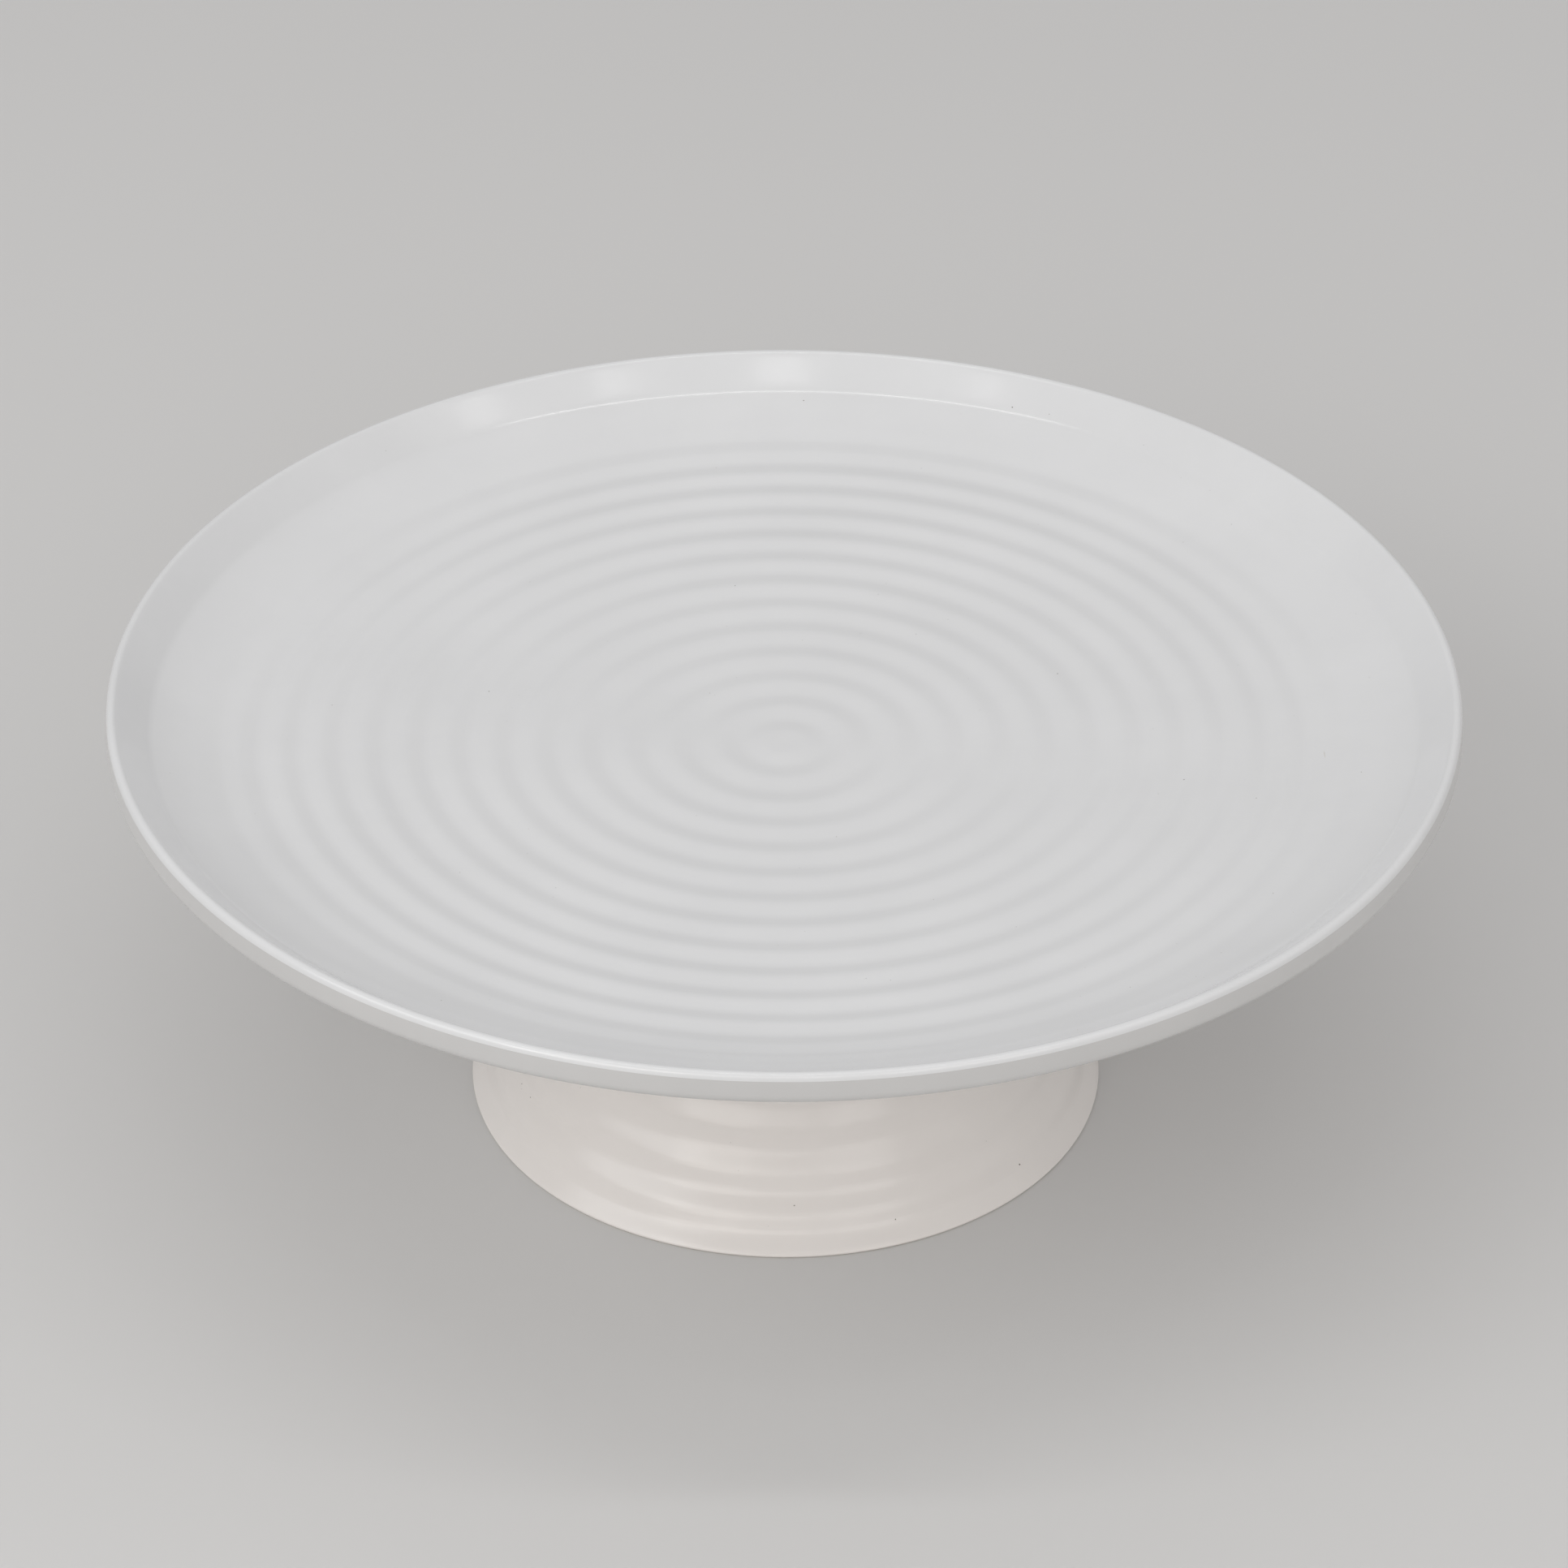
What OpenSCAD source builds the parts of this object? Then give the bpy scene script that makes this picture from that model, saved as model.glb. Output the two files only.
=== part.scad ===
// Footed cake stand in glazed porcelain: a dished, rippled plate luted with slip
// onto a hollow, flared foot. Millimetres, +Z up, origin on the table under the
// middle of the foot. Every piece is turned about the Z axis.

/* [Plate] */
// Diameter over the rim
plate_d = 320; // [290:1:340]
// Height of the rim's top above the table
overall_h = 114.3; // [106:0.1:125]
// Height of the rim's top above the middle of the well
rim_h = 19.3; // [17.5:0.1:22]
// Rise of the well from its middle to the start of the plain band
dish_h = 4.4; // [4:0.1:7]
// Wall thickness of the well's edge and the band
plate_t = 4.6; // [4:0.1:5]
// Thickness in the middle of the well
centre_t = 6; // [5:0.5:8]
// Radius of the gentle concave curve of the plain band, between the well and the fold
band_r = 83; // [60:1:95]
// Slope of the band where it meets the fold, in degrees from level
band_slope = 24; // [18:1:28]
// Radius of the tight concave fold between the band and the rim's wall
fold_r = 7; // [4:0.5:12]
// Slope of the rim's wall, in degrees from level
rim_slope = 43; // [36:1:50]
// Radius of the rounded lip
lip_r = 1.3; // [1.2:0.1:1.6]
// How far the lip stands inside the rim's widest circle
lip_in = 0.4; // [0:0.1:1]
// Depth of the rim's widest circle below the lip's top
roll_drop = 5.4; // [4.5:0.1:6.5]
// Radius of the rolled lower edge of the rim's outside
roll_r = 2.3; // [1.8:0.1:2.8]

/* [Ripples on the plate] */
// Height of a ripple from trough to crest, half-way out
ripple_h = 0.5; // [0.2:0.05:1]
// Radius of the innermost crest
first_crest = 4.3; // [3:0.1:6]
// Depth of the dimple inside the innermost crest, as a share of a ripple's height
dimple = 0.2; // [0:0.05:0.5]
// Spacing of the first ripples
ripple_pitch = 11.4; // [9:0.1:13]
// How much narrower each ripple is than the one inside it
ripple_step = 0.16; // [0:0.01:0.2]
// How much taller the outermost ripples are than the innermost, as a share
ripple_growth = 0.3; // [0:0.05:0.5]

/* [Foot] */
// Diameter of the foot at the table
foot_d = 155; // [140:1:170]
// Diameter at the neck, the narrowest place
neck_d = 100; // [90:1:110]
// Height of the neck above the table
neck_h = 68; // [60:1:72]
// Diameter of the foot's top, where it meets the plate
collar_d = 114; // [108:1:124]
// Wall thickness of the foot
foot_t = 5.5; // [4:0.5:6]
// Height of the foot's widest circle above the table
edge_h = 0.8; // [0.6:0.1:2]
// Width of the flat ring that rests on the table
rest_w = 2.6; // [2:0.1:3.2]

/* [Ripples on the foot] */
// Height of a ripple from trough to crest
foot_ripple_h = 0.7; // [0.2:0.05:1.2]
// Spacing of the ripples, measured straight up, at the table
foot_pitch = 6.95; // [6:0.05:9]
// How much taller each ripple is than the one below it
foot_step = 0.9; // [0:0.05:1.2]

/* [Slip joint] */
// Thickness of the slip between the foot and the plate
slip_t = 0.8; // [0.5:0.1:1.5]
// Size of the smoothed bead of slip on each side of the foot's wall
bead = 3.6; // [2.5:0.1:4.5]
// Width of the plate's turned seat outside and inside the foot's wall
seat_margin = 5; // [4.8:0.1:7]

/* [Hidden] */
$fn = 180;
EPS = 0.001;

// Driving heights and radii
rim_r = plate_d / 2;
well_z = overall_h - rim_h;            // middle of the well, between crest and trough
seat_z = well_z - centre_t;            // underside of the plate's seat
foot_h = seat_z - slip_t;              // top face of the foot
foot_r = foot_d / 2;
neck_r = neck_d / 2;
collar_r = collar_d / 2;
collar_in_r = collar_r - foot_t;
collar_h = bead + 0.6;                 // straight part at the top of the foot
seat_r = collar_r + seat_margin;
seat_in_r = collar_in_r - seat_margin;

// The plate's smooth section, before ripples: dish, band, fold and wall.
// The band starts where the wall, carried up to the lip, ends flush with the rim.
lip_c = [rim_r - lip_in - lip_r, overall_h - lip_r];
wall_top = lip_c + lip_r * [-sin(rim_slope), cos(rim_slope)];
function dish_slope(r) = atan(2 * dish_h / r);
// How far an arc of the given radius runs outwards and upwards between two slopes
function arc_run(radius, from, to) = radius * [sin(to) - sin(from), cos(from) - cos(to)];
// Where the fold ends when the band starts at radius r
function fold_end_for(r) =
    [r, well_z + dish_h]
    + arc_run(band_r, dish_slope(r), band_slope)
    + arc_run(fold_r, band_slope, rim_slope);
// Height of the wall line, started from there, over the lip's tangent point
function wall_error(r) =
    let (from = fold_end_for(r)) from[1] + tan(rim_slope) * (wall_top[0] - from[0]) - wall_top[1];
function solve_well(lo, hi, n) =
    n == 0 ? (lo + hi) / 2
    : let (mid = (lo + hi) / 2)
      wall_error(mid) > 0 ? solve_well(mid, hi, n - 1) : solve_well(lo, mid, n - 1);
well_r = solve_well(rim_r * 0.7, rim_r * 0.95, 40);
k = dish_h / (well_r * well_r);
slope_0 = dish_slope(well_r);
band_c = [well_r, well_z + dish_h] + band_r * [-sin(slope_0), cos(slope_0)];
band_end = band_c + band_r * [sin(band_slope), -cos(band_slope)];
fold_c = band_end + fold_r * [-sin(band_slope), cos(band_slope)];

// Height of the smooth upper face at radius r, out to the start of the fold
function smooth_z(r) =
    r <= well_r ? well_z + k * r * r
    : band_c[1] - sqrt(band_r * band_r - pow(r - band_c[0], 2));

// Ripples: crest number n has the radius first_crest + ripple_pitch*n - ripple_step/2*n^2
half_step = ripple_step / 2;
function crest_number(r) =
    half_step < EPS ? (r - first_crest) / ripple_pitch
    : (ripple_pitch - sqrt(pow(ripple_pitch, 2) - 4 * half_step * (r - first_crest)))
      / (2 * half_step);
function ripple(r) =
    r < first_crest ? 1 - dimple * (1 + cos(180 * r / first_crest))
    : cos(360 * crest_number(r));
function growth(r) = 1 + ripple_growth * (r / well_r - 0.5);
fade_from = rim_r * 0.72;              // the outer ripples die away across the plain band
fade_to = band_end[0];
function fade(r) =
    let (t = max(0, min(1, (r - fade_from) / (fade_to - fade_from)))) 1 - t * t * (3 - 2 * t);
function upper_z(r) = smooth_z(r) + ripple_h / 2 * growth(r) * fade(r) * ripple(r);

// Points of an arc about c, from angle a to angle b
function arc(c, r, a, b, n) = [for (i = [0:n]) let (t = a + (b - a) * i / n) c + r * [cos(t), sin(t)]];

// The rim's outside is a straight face between the lip's curve and the roll's, then a straight
// underside from the roll to the band. Each is given by the direction of its normal, in degrees.
roll_c = [rim_r - roll_r, overall_h - roll_drop];
down = roll_c - lip_c;
face_dir = atan2(down[1], down[0]) + acos((lip_r - roll_r) / norm(down));
under_band = band_c + (band_r + plate_t) * [sin(band_slope), -cos(band_slope)];
inwards = under_band - roll_c;
under_dir = atan2(inwards[1], inwards[0]) + acos(roll_r / norm(inwards));
function under_z(r) =
    well_z + k * r * r - plate_t - (centre_t - plate_t) * (1 - pow(r / well_r, 2));
profile_step = 0.9;                    // spacing of the points along the ripples
upper_n = ceil(band_end[0] / profile_step);
under_n = 16;
fold_gap = 2;                          // degrees between the band's last point and the fold's first

function plate_outline() = concat(
    [for (i = [0:upper_n]) let (r = band_end[0] * i / upper_n) [r, upper_z(r)]],
    arc(fold_c, fold_r, band_slope - 90 + fold_gap, rim_slope - 90, 6),
    arc(lip_c, lip_r, 90 + rim_slope, face_dir, 12),
    arc(roll_c, roll_r, face_dir, under_dir, 8),
    arc(band_c, band_r + plate_t, band_slope - 90, slope_0 - 90, 9),
    [for (i = [0:under_n]) let (r = well_r + (seat_r + 1.5 - well_r) * i / under_n) [r, under_z(r)]],
    [[seat_r, seat_z], [seat_in_r, seat_z], [seat_in_r - 1.5, seat_z + 1], [0, seat_z + 1]]
);

module plate() {
    color("whitesmoke") rotate_extrude() polygon(plate_outline());
}

// The foot's outside: a concave flare below the neck, a shorter one above it
flare_top = foot_h - collar_h;
function flare_r(z) =
    z < neck_h ? neck_r + (foot_r - neck_r) * pow(1 - (z - edge_h) / (neck_h - edge_h), 2)
    : neck_r + (collar_r - neck_r) * pow((z - neck_h) / (flare_top - neck_h), 2);
// Ripple number at height z, with crest 0 at the foot's widest circle
function foot_ripple_number(z) =
    foot_step < EPS ? (z - edge_h) / foot_pitch
    : (-foot_pitch + sqrt(pow(foot_pitch, 2) + 2 * foot_step * (z - edge_h))) / foot_step;
function foot_fade(z) =
    let (t = max(0, min(1, (z - neck_h) / (flare_top - neck_h)))) 1 - t * t * (3 - 2 * t);
function foot_outer_r(z) =
    flare_r(z) - foot_ripple_h / 2 * foot_fade(z) * (1 - cos(360 * foot_ripple_number(z)));
// The inside follows the outside without its ripples, a wall thickness further in
function flare_lean(z) = atan((flare_r(z - 0.5) - flare_r(z + 0.5)) / 1);
function foot_inner(z) = [flare_r(z) - foot_t * cos(flare_lean(z)), z - foot_t * sin(flare_lean(z))];

outer_n = ceil((flare_top - edge_h) / profile_step);
inner_n = 28;
inner_low = 11;                        // height on the outside whose inner point starts the bare edge
rest_out_r = foot_r - 0.8;
rest_in_r = rest_out_r - rest_w;

function foot_outline() = concat(
    [[rest_in_r, 0], [rest_out_r, 0]],
    [for (i = [1:4]) [rest_out_r + (foot_r - rest_out_r) * sin(22.5 * i), edge_h * (1 - cos(22.5 * i))]],
    [for (i = [1:outer_n]) let (z = edge_h + (flare_top - edge_h) * i / outer_n) [foot_outer_r(z), z]],
    [[collar_r, foot_h], [collar_in_r, foot_h]],
    [for (i = [0:inner_n]) foot_inner(flare_top - 1 + (inner_low - flare_top + 1) * i / inner_n)]
);

module foot() {
    color("linen") rotate_extrude() polygon(foot_outline());
}

// The slip fills the gap between the foot and the seat, with a hollow bead on both sides
bead_in = 0.35;                        // thickness that the sponged bead keeps at its edges
function bead_arc(side) =
    let (wall = side > 0 ? collar_r : collar_in_r, n = 8)
    [for (i = [0:n]) let (t = 90 * i / n) [
        wall + side * (bead_in + (bead - bead_in) * (1 - cos(t))),
        seat_z - bead_in - (bead - bead_in) * (1 - sin(t))
    ]];
function reversed(list) = [for (i = [len(list) - 1:-1:0]) list[i]];

function slip_outline() = concat(
    [[collar_r, seat_z - bead]],
    bead_arc(1),
    [[collar_r + bead, seat_z], [collar_in_r - bead, seat_z]],
    reversed(bead_arc(-1)),
    [[collar_in_r, seat_z - bead], [collar_in_r, foot_h], [collar_r, foot_h]]
);

module slip_joint() {
    color("ivory") rotate_extrude() polygon(slip_outline());
}

plate();
foot();
slip_joint();
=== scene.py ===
import math
import random

import bmesh
import bpy
import numpy as np
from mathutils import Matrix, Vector
from mathutils.bvhtree import BVHTree


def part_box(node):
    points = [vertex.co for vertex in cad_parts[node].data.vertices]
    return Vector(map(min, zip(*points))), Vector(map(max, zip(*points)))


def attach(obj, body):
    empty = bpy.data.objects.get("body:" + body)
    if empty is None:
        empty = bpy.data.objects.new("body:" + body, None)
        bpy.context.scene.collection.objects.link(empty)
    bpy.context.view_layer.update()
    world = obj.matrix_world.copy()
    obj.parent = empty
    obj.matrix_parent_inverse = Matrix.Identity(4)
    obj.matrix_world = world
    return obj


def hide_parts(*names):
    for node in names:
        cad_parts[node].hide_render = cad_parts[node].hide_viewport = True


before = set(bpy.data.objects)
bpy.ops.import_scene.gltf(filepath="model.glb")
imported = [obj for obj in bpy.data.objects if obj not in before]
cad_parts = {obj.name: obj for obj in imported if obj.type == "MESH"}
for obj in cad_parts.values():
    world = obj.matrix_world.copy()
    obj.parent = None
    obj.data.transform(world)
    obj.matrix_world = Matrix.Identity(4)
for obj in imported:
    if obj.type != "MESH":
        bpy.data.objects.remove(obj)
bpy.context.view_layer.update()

# A footed cake stand in white glazed porcelain. Each CAD node is replaced by a finer piece:
# its own section, read from the frame, is softened as glaze softens an edge, and turned about
# the Z axis with the slight unevenness of ware that was shaped and fired by hand.
# Lengths are in metres; MM writes them in millimetres.

MM = 0.001

# ---- Sizes from the frame -------------------------------------------------------------------

plate_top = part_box("plate")[1]
foot_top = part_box("foot")[1]
RIM_R = plate_top.x                      # outside radius of the plate
RIM_Z = plate_top.z                      # top of the rim
FOOT_H = foot_top.z                      # height of the foot's top face

# ---- Sections -------------------------------------------------------------------------------


def frame_section(node):
    """The node's outline where it crosses the half-plane y = 0, x >= 0: (radius, height) in order."""
    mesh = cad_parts[node].data
    tolerance = 0.001 * MM
    on_plane = {
        v.index: (round(max(v.co.x, 0.0), 7), round(v.co.z, 7))
        for v in mesh.vertices
        if abs(v.co.y) < tolerance and v.co.x > -tolerance
    }
    linked = {point: set() for point in on_plane.values()}
    for edge in mesh.edges:
        a, b = (on_plane.get(i) for i in edge.vertices)
        if a and b and a != b:
            linked[a].add(b)
            linked[b].add(a)
    # A solid plate starts on the axis, on its upper face; a ring starts at its lowest point
    solid = min(linked)[0] == 0
    point = min(linked, key=lambda p: (p[0], -p[1]) if solid else (p[1], p[0]))
    ordered = [point]
    left = set(linked) - {point}
    while left:
        near = (linked[point] & left) or left
        point = min(near, key=lambda p: math.dist(p, ordered[-1]))
        ordered.append(point)
        left.discard(point)
    # The flat face under a solid plate's middle has no vertex on the axis, so its end is added
    if solid and ordered[-1][0] > 0:
        ordered.append((0.0, ordered[-1][1]))
    return np.array(ordered)


def evenly_spaced(points, spacing):
    """The same polyline, with its points spacing apart along it."""
    along = np.concatenate([[0], np.cumsum(np.linalg.norm(np.diff(points, axis=0), axis=1))])
    count = max(8, round(along[-1] / spacing))
    wanted = np.linspace(0, along[-1], count + 1)
    return np.stack([np.interp(wanted, along, points[:, i]) for i in (0, 1)], axis=1)


def softened(points, radius, closed):
    """The outline with its corners rounded, by averaging along it over about the radius."""
    spacing = radius / 6
    if closed:
        points = np.vstack([points, points[:1]])
    points = evenly_spaced(points, spacing)
    half = int(3 * radius / spacing)
    weights = np.exp(-0.5 * (np.arange(-half, half + 1) * spacing / (radius * 0.6)) ** 2)
    weights /= weights.sum()
    if closed:
        points = points[:-1]
        padded = np.vstack([points[-half:], points, points[:half]])
    else:  # both ends are on the axis, and the section goes on at its other side
        flip = np.array([-1.0, 1.0])
        padded = np.vstack([points[half:0:-1] * flip, points, points[-2:-half - 2:-1] * flip])
    return np.stack([np.convolve(padded[:, i], weights, "valid") for i in (0, 1)], axis=1)


def thinned(points, turn, longest, closed):
    """The outline with points only where it has turned by that angle or run that far."""
    kept = [0]
    heading = None
    for i in range(1, len(points) - 1):
        step = points[i + 1] - points[i]
        angle = math.atan2(step[1], step[0])
        heading = angle if heading is None else heading
        bend = abs((angle - heading + math.pi) % (2 * math.pi) - math.pi)
        if bend >= turn or np.linalg.norm(points[i] - points[kept[-1]]) >= longest:
            kept.append(i)
            heading = angle
    if not closed:
        kept.append(len(points) - 1)
    return points[kept]


# ---- Turned pieces --------------------------------------------------------------------------


def turned(name, outline, closed, segments, uneven):
    """A piece turned from the outline; uneven(r, z, angle) gives its points' real places."""
    angles = np.arange(segments) * 2 * math.pi / segments
    on_axis = outline[:, 0] < 0.01 * MM
    mesh = bpy.data.meshes.new(name)
    rings, vertices, faces = [], [], []
    for (r, z), axial in zip(outline, on_axis):
        if axial:
            rings.append([len(vertices)])
            vertices.append((0.0, 0.0, z))
            continue
        rr, zz = uneven(np.full(segments, r), np.full(segments, z), angles)
        rings.append(range(len(vertices), len(vertices) + segments))
        vertices += zip(rr * np.cos(angles), rr * np.sin(angles), zz)
    pairs = list(zip(rings, rings[1:])) + ([(rings[-1], rings[0])] if closed else [])
    for lower, upper in pairs:
        for j in range(segments):
            k = (j + 1) % segments
            if len(lower) == 1:
                faces.append((lower[0], upper[j], upper[k]))
            elif len(upper) == 1:
                faces.append((lower[j], upper[0], lower[k]))
            else:
                faces.append((lower[j], upper[j], upper[k], lower[k]))
    mesh.from_pydata(vertices, [], faces)
    made = bmesh.new()
    made.from_mesh(mesh)
    bmesh.ops.recalc_face_normals(made, faces=made.faces)
    made.to_mesh(mesh)
    made.free()
    mesh.shade_smooth()
    piece = bpy.data.objects.new(name, mesh)
    bpy.context.scene.collection.objects.link(piece)
    return piece


def smooth_step(x, low, high):
    """Rises smoothly from 0 at low to 1 at high."""
    t = np.clip((x - low) / (high - low), 0, 1)
    return t * t * (3 - 2 * t)


RING_WANDER = 0.35 * MM                  # how far the ripples stray from true circles
RIM_SAG = 0.35 * MM                      # how far the rim dips where it dips most
RIM_OVAL = 0.30 * MM                     # how far the rim is from round


def plate_uneven(r, z, angle):
    """The plate's ripples wander a little, and its rim is slightly oval and wavy."""
    inner = smooth_step(r, 0.02 * RIM_R, 0.2 * RIM_R) * (1 - smooth_step(r, 0.8 * RIM_R, 0.93 * RIM_R))
    phase = r / (24 * MM)
    wander = np.sin(2 * angle + phase) + 0.6 * np.sin(3 * angle - 1.7 * phase + 1.0)
    share = (r / RIM_R) ** 2
    oval = 0.5 + 0.5 * np.sin(2 * angle + 0.6)
    sag = 0.5 + 0.35 * np.sin(2 * angle + 2.2) + 0.15 * np.sin(3 * angle)
    return r + RING_WANDER / 1.6 * inner * wander - RIM_OVAL * share * oval, z - RIM_SAG * share * sag


FOOT_WANDER = 0.35 * MM                  # how far the foot's ripples stray from level
FOOT_DENT = 0.25 * MM                    # how deep the foot's soft hollows are
FOOT_OFFSET = 0.4 * MM                   # how far to the right of the plate's middle it was luted


def foot_uneven(r, z, angle):
    """The foot's ripples wander up and down, and its wall has faint hollows."""
    middle = smooth_step(z, 0.03 * FOOT_H, 0.15 * FOOT_H) * (1 - smooth_step(z, 0.8 * FOOT_H, 0.95 * FOOT_H))
    phase = z / (17 * MM)
    wander = np.sin(2 * angle + phase) + 0.5 * np.sin(5 * angle - phase + 2.0)
    dent = 0.5 + 0.3 * np.sin(3 * angle + 1.3 * phase) + 0.2 * np.sin(7 * angle - 2.1 * phase)
    return r - FOOT_DENT * middle * dent, z + FOOT_WANDER / 1.5 * middle * wander


def level(r, z, angle):
    """No unevenness: the slip joint stays as the frame has it."""
    return r, z


# ---- Materials ------------------------------------------------------------------------------


def noise(tree, source, scale, detail=3.0, roughness=0.5):
    """A noise value in object space; scale is in features per metre."""
    made = tree.nodes.new("ShaderNodeTexNoise")
    made.inputs["Scale"].default_value = scale
    made.inputs["Detail"].default_value = detail
    made.inputs["Roughness"].default_value = roughness
    tree.links.new(source, made.inputs["Vector"])
    return made.outputs["Fac"]


def ramp(tree, value, low, high, colours):
    """Maps value from low..high to a colour between the two given."""
    made = tree.nodes.new("ShaderNodeMapRange")
    made.inputs["From Min"].default_value = low
    made.inputs["From Max"].default_value = high
    tree.links.new(value, made.inputs["Value"])
    mix = tree.nodes.new("ShaderNodeMix")
    mix.data_type = "RGBA"
    tree.links.new(made.outputs["Result"], mix.inputs["Factor"])
    mix.inputs["A"].default_value = (*colours[0], 1)
    mix.inputs["B"].default_value = (*colours[1], 1)
    return mix.outputs["Result"]


def porcelain_glaze(name, deep, thin, roughness=0.16, coat=0.35, coat_roughness=0.08):
    """White glaze: faint clouds of tone, fine pitting and a slow unevenness like orange peel."""
    material = bpy.data.materials.new(name)
    material.use_nodes = True
    tree = material.node_tree
    shader = tree.nodes["Principled BSDF"]
    place = tree.nodes.new("ShaderNodeTexCoord").outputs["Object"]
    clouds = noise(tree, place, 28.0, detail=4.0, roughness=0.6)
    tone = ramp(tree, clouds, 0.3, 0.7, (deep, thin))
    tree.links.new(tone, shader.inputs["Base Color"])
    gloss = tree.nodes.new("ShaderNodeMapRange")
    gloss.inputs["To Min"].default_value = roughness - 0.03
    gloss.inputs["To Max"].default_value = roughness + 0.04
    tree.links.new(noise(tree, place, 60.0), gloss.inputs["Value"])
    tree.links.new(gloss.outputs["Result"], shader.inputs["Roughness"])
    shader.inputs["IOR"].default_value = 1.5
    shader.inputs["Coat Weight"].default_value = coat
    shader.inputs["Coat Roughness"].default_value = coat_roughness
    shader.inputs["Coat IOR"].default_value = 1.5
    slow = tree.nodes.new("ShaderNodeBump")
    slow.inputs["Strength"].default_value = 0.25
    slow.inputs["Distance"].default_value = 0.12 * MM
    tree.links.new(noise(tree, place, 140.0, detail=2.0), slow.inputs["Height"])
    fine = tree.nodes.new("ShaderNodeBump")
    fine.inputs["Strength"].default_value = 0.15
    fine.inputs["Distance"].default_value = 0.02 * MM
    tree.links.new(noise(tree, place, 1600.0, detail=2.0), fine.inputs["Height"])
    tree.links.new(slow.outputs["Normal"], fine.inputs["Normal"])
    tree.links.new(fine.outputs["Normal"], shader.inputs["Normal"])
    return material


def bare_porcelain():
    """The unglazed biscuit of the foot ring, wiped clean before firing."""
    material = bpy.data.materials.new("bare_porcelain")
    material.use_nodes = True
    tree = material.node_tree
    shader = tree.nodes["Principled BSDF"]
    place = tree.nodes.new("ShaderNodeTexCoord").outputs["Object"]
    grain = noise(tree, place, 900.0, detail=6.0, roughness=0.7)
    tree.links.new(ramp(tree, grain, 0.35, 0.65, ((0.66, 0.61, 0.54), (0.76, 0.72, 0.65))),
                   shader.inputs["Base Color"])
    shader.inputs["Roughness"].default_value = 0.85
    rough = tree.nodes.new("ShaderNodeBump")
    rough.inputs["Strength"].default_value = 0.5
    rough.inputs["Distance"].default_value = 0.05 * MM
    tree.links.new(grain, rough.inputs["Height"])
    tree.links.new(rough.outputs["Normal"], shader.inputs["Normal"])
    return material


def plain_material(name, colour, roughness, specular=0.5):
    """One even colour, for things too small or too plain to need more."""
    material = bpy.data.materials.new(name)
    material.use_nodes = True
    shader = material.node_tree.nodes["Principled BSDF"]
    shader.inputs["Base Color"].default_value = (*colour, 1)
    shader.inputs["Roughness"].default_value = roughness
    shader.inputs["Specular IOR Level"].default_value = specular
    return material


# ---- The pieces -----------------------------------------------------------------------------


def piece_for(cad_node, name, uneven, edge, segments, turn_deg, longest, material):
    """Turns the finer piece that stands for a CAD node."""
    raw = frame_section(cad_node)
    closed = raw[:, 0].min() > 0
    outline = thinned(softened(raw, edge, closed), math.radians(turn_deg), longest, closed)
    piece = turned(name, outline, closed, segments, uneven)
    piece.data.materials.append(material)
    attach(piece, "root")
    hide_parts(cad_node)
    return piece


white_glaze = porcelain_glaze("white_glaze", (0.785, 0.79, 0.8), (0.815, 0.82, 0.83))
# The foot's glaze is the plate's glaze painted lighter and warmer: painted light on the foot, which sits in
# the plate's shade
foot_glaze_painted_light = porcelain_glaze("foot_glaze_painted_light", (0.885, 0.845, 0.815), (0.91, 0.87, 0.84), 0.24, 0.2, 0.18)
slip_glaze = porcelain_glaze("slip_glaze", (0.79, 0.77, 0.75), (0.82, 0.80, 0.78), roughness=0.26)

plate = piece_for("plate", "plate_porcelain", plate_uneven, 0.45 * MM, 512, 2.5, 2.0 * MM,
                  white_glaze)
foot = piece_for("foot", "foot_porcelain", foot_uneven, 0.3 * MM, 384, 2.5, 1.5 * MM,
                 foot_glaze_painted_light)
slip = piece_for("slip_joint", "slip_bead", level, 0.3 * MM, 256, 5.0, 1.0 * MM,
                 slip_glaze)

# The plate's outside and underside get a darker copy of its glaze: painted shade, picked by the way each
# face turns, which brings the rim's outside down to a darker tone
PAINTED_SHADE_RISE = 0.12                           # faces whose normals rise less than this belong to it
plate.data.materials.append(
    porcelain_glaze("painted_shade_glaze", (0.62, 0.615, 0.61), (0.65, 0.645, 0.64), 0.22, 0.2, 0.15))
# Faces turned sideways or down get the painted shade
for face in plate.data.polygons:
    face.material_index = 1 if face.normal.z < PAINTED_SHADE_RISE else 0

# The foot ring is bare: the glaze was wiped off to just above where it rests
BARE_H = 0.35 * MM
foot.data.materials.append(bare_porcelain())
for face in foot.data.polygons:
    face.material_index = 1 if face.center.z < BARE_H else 0
for part in (foot, slip):
    for vertex in part.data.vertices:
        vertex.co.x += FOOT_OFFSET

# ---- Kiln specks ----------------------------------------------------------------------------

dice = random.Random(11)
FLECK_SIDES = 9
FLECK_RISE = 0.03 * MM                   # its middle is this far above the glaze
FLECK_SINK = 0.01 * MM                   # its edge is this far below it
DUST_ON_PLATE = 150                      # number of fine specks
DUST_ON_FOOT = 60
DUST_SIZE = (0.12, 0.3)                  # smallest and largest, in millimetres


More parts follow.
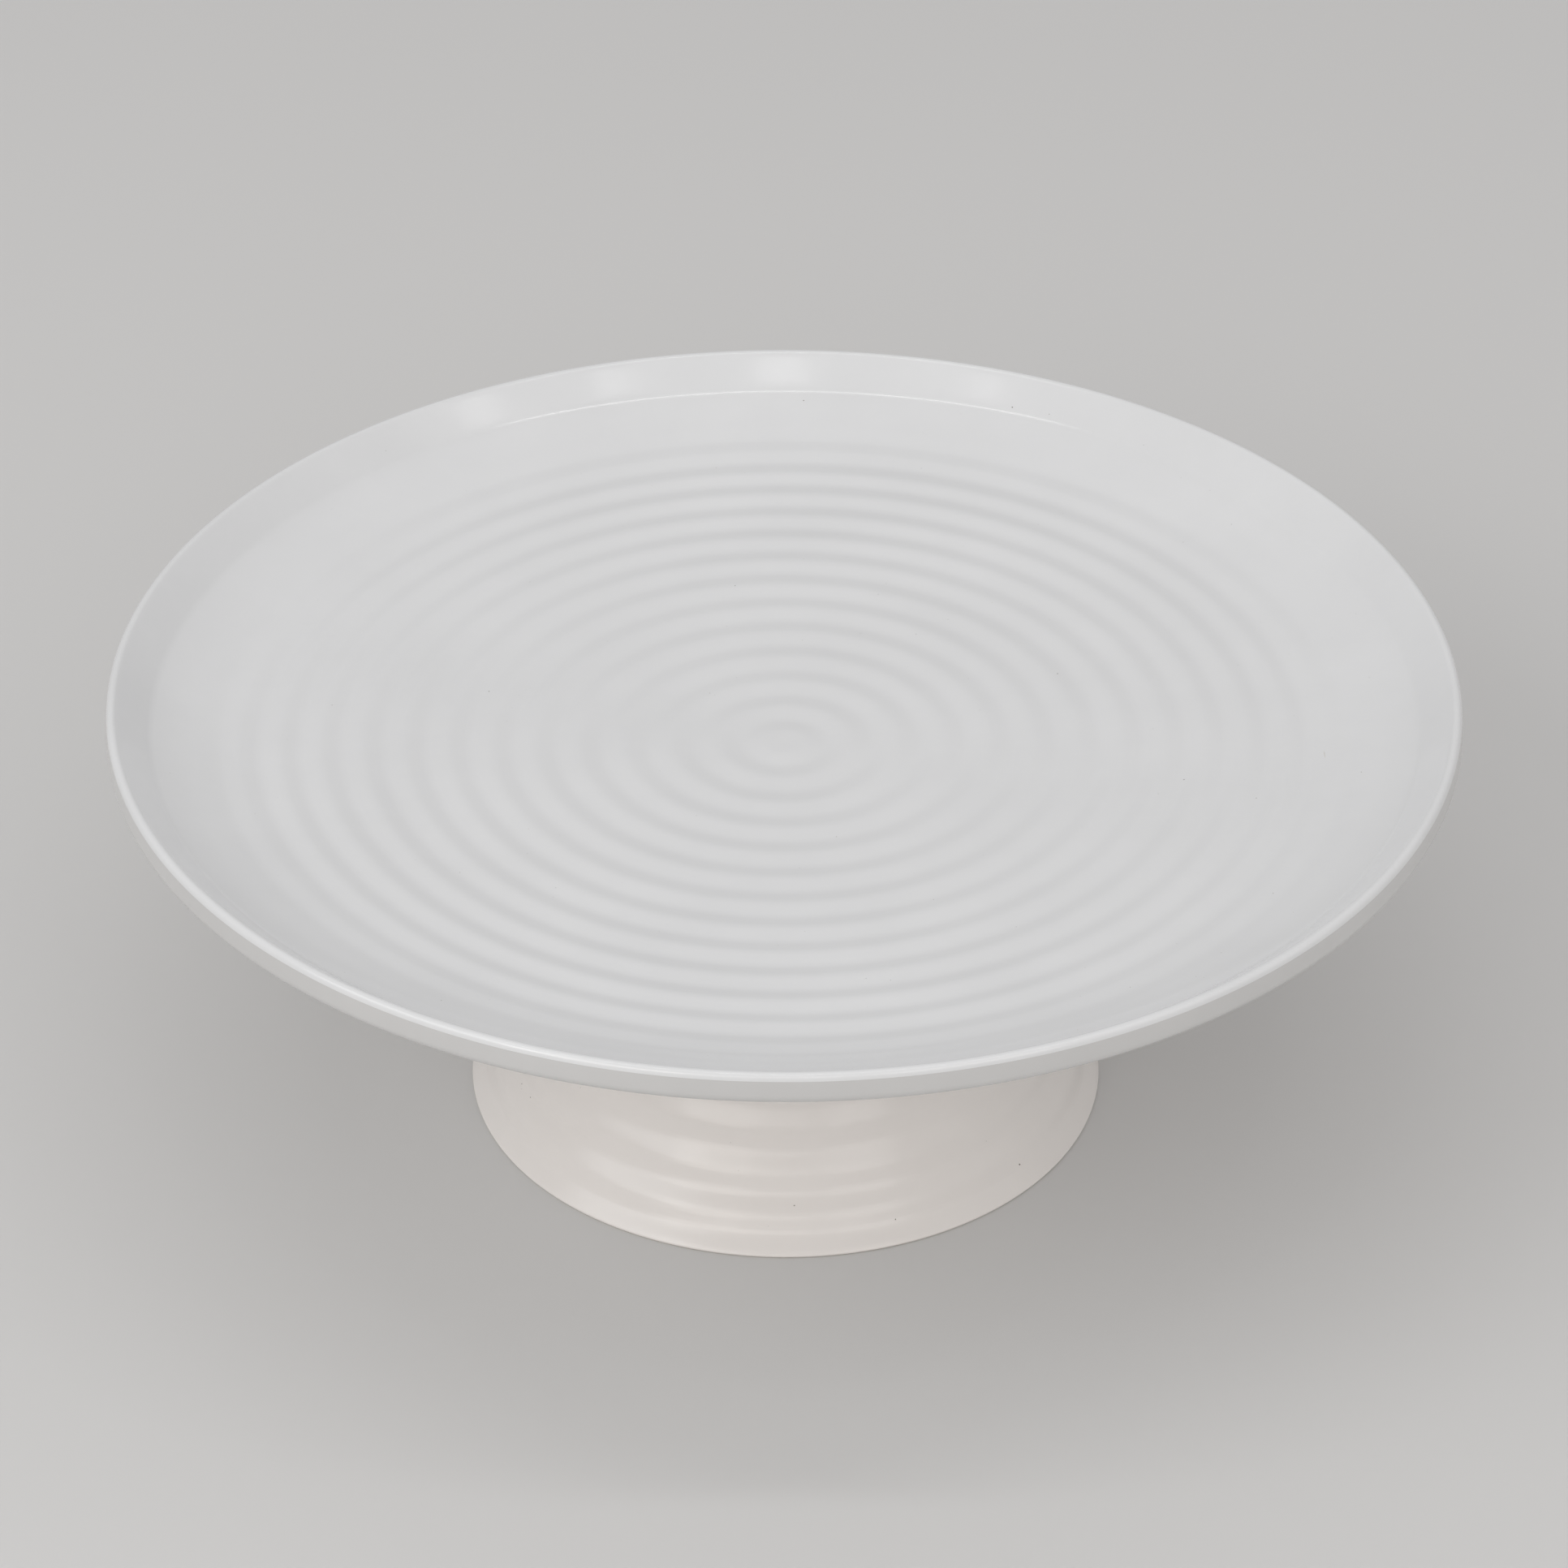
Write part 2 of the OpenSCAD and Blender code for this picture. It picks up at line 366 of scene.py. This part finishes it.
def add_fleck(made, surface, start, aim, length, width, turn):
    """A low, ragged fleck on the surface, where a ray from start along aim first meets it."""
    place, normal, _, _ = surface.ray_cast(start, aim)
    along = normal.cross(Vector((math.cos(turn), math.sin(turn), 0.3))).normalized()
    across = normal.cross(along)
    top = made.verts.new(place + normal * FLECK_RISE)
    edge = []
    for i in range(FLECK_SIDES):
        angle = 2 * math.pi * i / FLECK_SIDES
        ragged = dice.uniform(0.75, 1.1)
        spread = along * (math.cos(angle) * length / 2) + across * (math.sin(angle) * width / 2)
        edge.append(made.verts.new(place + spread * ragged - normal * FLECK_SINK))
    for i in range(FLECK_SIDES):
        made.faces.new((top, edge[i], edge[(i + 1) % FLECK_SIDES]))
    made.faces.new(edge[::-1])


def from_above(radius, azimuth):
    """A ray down onto the plate; azimuth 0 is the front and 90 the right, in degrees."""
    angle = math.radians(azimuth)
    return Vector((radius * math.sin(angle), -radius * math.cos(angle), 2 * RIM_Z)), Vector((0, 0, -1))


def from_outside(height, azimuth):
    """A level ray onto the outside of the foot."""
    angle = math.radians(azimuth)
    away = Vector((math.sin(angle), -math.cos(angle), 0))
    return away * RIM_R + Vector((0, 0, height)), -away


def add_specks():
    """Iron specks in the glaze: a few bold ones, and many as fine as dust."""
    meshed = bpy.context.evaluated_depsgraph_get()
    on_plate = BVHTree.FromObject(plate, meshed)
    on_foot = BVHTree.FromObject(foot, meshed)
    made = bmesh.new()
    # The bold ones: radius, or height on the foot, in millimetres, azimuth in degrees, and size
    for radius, azimuth, size in (
            (151, 157, 0.5), (72, 113, 0.5), (74, -106, 0.5), (96, 78, 0.45), (147, 178, 0.45),
            (70, -170, 0.4), (114, 75, 0.35), (137, 80, 0.35), (132, 57, 0.35), (138, -33, 0.35)):
        add_fleck(made, on_plate, *from_above(radius * MM, azimuth), size * MM, size * MM, 0)
    for height, azimuth, size in (
            (5, 50, 0.7), (10, 2, 0.45), (5, 21, 0.45), (12, -64, 0.4), (12, -69, 0.4)):
        add_fleck(made, on_foot, *from_outside(height * MM, azimuth), size * MM, size * MM, 0)
    for _ in range(DUST_ON_PLATE):
        size = dice.uniform(*DUST_SIZE) * MM
        ray = from_above(RIM_R * 0.97 * math.sqrt(dice.random()), dice.uniform(-180, 180))
        add_fleck(made, on_plate, *ray, size, size * dice.uniform(0.6, 1), dice.uniform(0, 6))
    for _ in range(DUST_ON_FOOT):
        size = dice.uniform(*DUST_SIZE) * MM
        ray = from_outside(dice.uniform(0.03, 0.7) * FOOT_H, dice.uniform(-180, 180))
        add_fleck(made, on_foot, *ray, size, size * dice.uniform(0.6, 1), dice.uniform(0, 6))
    # One faint drag mark in the glaze, along the ripples at the plate's right
    fleck_count = len(made.faces)
    add_fleck(made, on_plate, *from_above(128 * MM, 84), 5 * MM, 0.35 * MM, 0)
    made.faces.ensure_lookup_table()
    for face in made.faces[fleck_count:]:
        face.material_index = 1
    mesh = bpy.data.meshes.new("kiln_specks")
    made.to_mesh(mesh)
    made.free()
    specks = bpy.data.objects.new("kiln_specks", mesh)
    bpy.context.scene.collection.objects.link(specks)
    mesh.materials.append(plain_material("iron_speck", (0.20, 0.17, 0.15), 0.4))
    mesh.materials.append(plain_material("drag_mark", (0.66, 0.65, 0.62), 0.3))
    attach(specks, "root")


add_specks()

# ---- Floor, light and camera ----------------------------------------------------------------


def add_floor():
    """A plain pale floor, wide enough to fill the picture."""
    mesh = bpy.data.meshes.new("floor")
    side = 40 * RIM_R
    mesh.from_pydata(
        [(-side, -side, 0), (side, -side, 0), (side, side, 0), (-side, side, 0)], [], [(0, 1, 2, 3)])
    floor = bpy.data.objects.new("floor", mesh)
    bpy.context.scene.collection.objects.link(floor)
    floor.data.materials.append(plain_material("pale_floor", (0.72, 0.715, 0.71), 0.9, specular=0.1))


AIM = Vector((0, 0, RIM_Z))              # the lights point at the plate


def softbox(name, azimuth, elevation, distance, size, radiance, colour=(1, 1, 1)):
    """A rectangular light; azimuth 0 is the camera's side and 90 the right, both in degrees."""
    light = bpy.data.lights.new(name, "AREA")
    light.shape = "RECTANGLE"
    light.size, light.size_y = size
    light.energy = math.pi * size[0] * size[1] * radiance
    light.color = colour
    lamp = bpy.data.objects.new(name, light)
    a, e = math.radians(azimuth), math.radians(elevation)
    away = Vector((math.sin(a) * math.cos(e), -math.cos(a) * math.cos(e), math.sin(e)))
    lamp.location = AIM + away * distance
    lamp.rotation_euler = away.to_track_quat("Z", "Y").to_euler()
    bpy.context.scene.collection.objects.link(lamp)


def add_light():
    """Soft, even studio light, most of it from the front and the left."""
    world = bpy.data.worlds.new("studio")
    bpy.context.scene.world = world
    world.use_nodes = True
    background = world.node_tree.nodes["Background"]
    background.inputs["Color"].default_value = (1.0, 0.99, 0.985, 1)
    background.inputs["Strength"].default_value = 0.49
    softbox("left_bank", -60, 38, 2.0, (1.4, 0.9), 1.7, (0.97, 0.99, 1.0))
    softbox("right_bank", 75, 34, 2.4, (1.6, 1.1), 0.3, (1.0, 0.99, 0.97))
    softbox("left_front", -30, 28, 2.4, (1.1, 1.0), 1.9, (1.0, 0.965, 0.92))
    softbox("right_front", 30, 28, 2.4, (1.1, 1.0), 1.3, (1.0, 0.975, 0.95))
    softbox("front_bank", -4, 29, 2.4, (1.0, 0.6), 1.3, (1.0, 0.97, 0.94))
    softbox("right_high", 60, 54, 2.4, (1.6, 1.0), 0.15)
    softbox("back_bank", 180, 60, 2.4, (1.4, 1.0), 0.15, (0.96, 0.98, 1.0))
    softbox("top_strip", 0, 88, 2.4, (2.4, 0.16), 4.5)
    for name, azimuth, elevation, radiance in (
            ("ceiling_1", -52, 61, 2.2), ("ceiling_2", 0, 67, 2.8), ("ceiling_3", 46, 63, 2.0),
            ("ceiling_4", 76, 56, 2.0)):
        softbox(name, azimuth, elevation, 2.4, (0.24, 0.16), radiance)


def add_camera():
    """Looks down from the front, eight rim radii from a point on the axis a little under the rim."""
    distance = 8 * RIM_R
    point_z = 0.818 * RIM_Z
    elevation = math.radians(32.97)      # of the camera, seen from that point
    pitch = math.radians(33.36)          # how far it is turned down
    camera = bpy.data.objects.new("camera", bpy.data.cameras.new("camera"))
    camera.data.sensor_width = 36
    camera.data.lens = 123.34
    camera.location = (0, -distance * math.cos(elevation), point_z + distance * math.sin(elevation))
    camera.rotation_euler = (math.pi / 2 - pitch, 0, 0)
    bpy.context.scene.collection.objects.link(camera)
    bpy.context.scene.camera = camera


add_floor()
add_light()
add_camera()
bpy.context.scene.view_settings.view_transform = "Standard"
